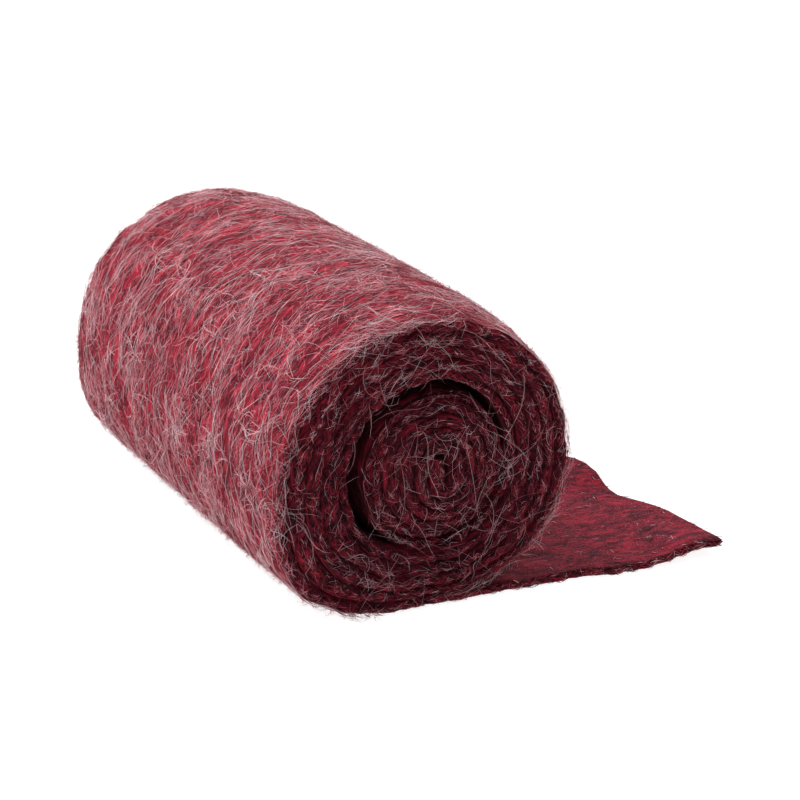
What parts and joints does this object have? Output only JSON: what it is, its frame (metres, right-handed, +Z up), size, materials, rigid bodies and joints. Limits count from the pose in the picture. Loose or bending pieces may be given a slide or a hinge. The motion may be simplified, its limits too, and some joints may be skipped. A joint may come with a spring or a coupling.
{
  "type": "roll of wool felt",
  "caption": "Strip of hairy heathered wool felt, wound into a fat settled roll that lies on its side, with its loose end run out flat and a little rumpled along the cut.",
  "frame": {"origin": "on the surface that the roll rests on, under the middle of the bounding box", "axes": "the roll is wound about Y, its front end faces -Y, the loose end runs out to +X, +Z is up"},
  "size_m": [0.1338, 0.1558, 0.0799],
  "materials": {
    "wool_felt": "matte hairy crimson wool felt with dark burgundy flecks and pale pinkish grey hairs"
  },
  "bodies": {
    "root": {"felt_roll": "wool_felt"}
  },
  "joints": []
}
